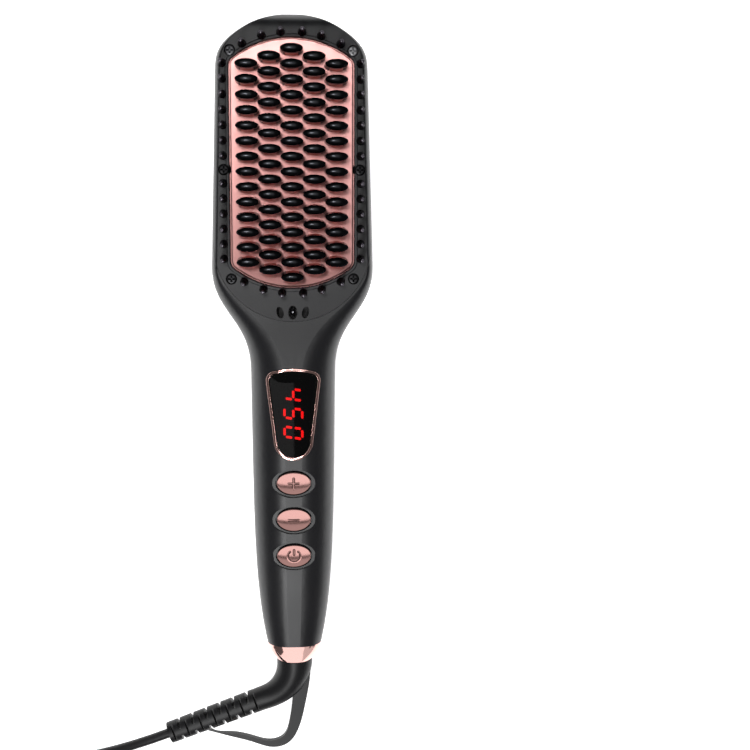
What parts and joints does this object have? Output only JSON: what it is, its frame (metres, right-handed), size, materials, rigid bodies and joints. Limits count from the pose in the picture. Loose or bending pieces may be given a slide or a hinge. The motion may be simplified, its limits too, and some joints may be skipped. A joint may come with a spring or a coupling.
{
  "type": "heated hair straightening brush",
  "caption": "Corded hair straightening brush with a heated plate, capped teeth, a small display, press buttons and a swivel cord with a coiled lead and plug.",
  "frame": {"origin": "under the middle of the brush body, on the surface that its back lies on", "axes": "+Z out of the teeth, +Y along the handle towards the head's tip, +X to the right seen from the teeth"},
  "size_m": [0.1876, 0.3722, 0.0361],
  "materials": {
    "dark_plastic": "fine satin, dark grey",
    "bezel_plastic": "heat resistant, fine satin",
    "tooth_plastic": "heat resistant, satin",
    "copper_coat": "rose gold coating on aluminium, satin",
    "copper_trim": "rose gold metallised plastic",
    "smoked_lens": "clear smoked window, gloss",
    "lit_figures": "lit red figures",
    "white_ceramic": "white ceramic",
    "mica": "mica sheet",
    "steel": "zinc plated",
    "felt": "glass fibre felt",
    "board": "glass epoxy board",
    "component": "moulded component",
    "brass": "plain brass",
    "rubber": "matte flexible PVC",
    "lead_sleeve": "silicone sleeve"
  },
  "bodies": {
    "brush": {"front_shell": "dark_plastic", "rear_shell": "dark_plastic", "head_bezel": "bezel_plastic", "rim_nubs": "tooth_plastic", "heating_plate": "copper_coat", "heat_fins": "copper_coat", "tooth_caps_column_1": "tooth_plastic", "tooth_caps_column_2": "tooth_plastic", "tooth_caps_column_3": "tooth_plastic", "tooth_caps_column_4": "tooth_plastic", "tooth_caps_column_5": "tooth_plastic", "ceramic_heaters": "white_ceramic", "mica_sheet": "mica", "heater_clamp": "steel", "clamp_screws": "steel", "thermistor": "component", "thermal_fuse": "component", "plate_carrier": "white_ceramic", "insulation_felt": "felt", "bezel_screws": "steel", "board_screws": "steel", "handle_screws": "steel", "ion_generator": "component", "ion_emitter": "steel", "control_board": "board", "tact_switches": "component", "film_capacitor": "component", "triac": "component", "smoothing_capacitor": "component", "display_module": "component", "display_digits": "lit_figures", "display_lens": "smoked_lens", "display_trim": "copper_trim", "collar_ring": "copper_trim", "swivel_retainer": "bezel_plastic", "brush_contacts": "brass", "contact_block": "component", "sensor_leads": "lead_sleeve", "heater_leads": "lead_sleeve", "ion_leads": "lead_sleeve", "mains_leads": "lead_sleeve"},
    "plus_key": {"plus_button": "copper_trim", "plus_plunger": "component"},
    "minus_key": {"minus_button": "copper_trim", "minus_plunger": "component"},
    "power_key": {"power_button": "copper_trim", "power_plunger": "component"},
    "cord_swivel": {"swivel_spindle": "bezel_plastic", "slip_rings": "brass", "strain_relief": "rubber", "cord_lead": "rubber", "cord_coil": "rubber", "cord_tail": "rubber", "plug_body": "rubber", "plug_blades": "brass"}
  },
  "joints": [
    {"name": "plus_press", "type": "slide", "parent": "brush", "child": "plus_key", "axis": [0, 0, -1], "range_m": [0, 0.0005], "stiffness_N_per_m": 300, "springref_m": -0.0005},
    {"name": "minus_press", "type": "slide", "parent": "brush", "child": "minus_key", "axis": [0, 0, -1], "range_m": [0, 0.0005], "stiffness_N_per_m": 300, "springref_m": -0.0005},
    {"name": "power_press", "type": "slide", "parent": "brush", "child": "power_key", "axis": [0, 0, -1], "range_m": [0, 0.0005], "stiffness_N_per_m": 300, "springref_m": -0.0005},
    {"name": "cord_turn", "type": "hinge", "parent": "brush", "child": "cord_swivel", "pos_m": [0, -0.1265, 0.0135], "axis": [0, 1, 0], "continuous": true}
  ]
}
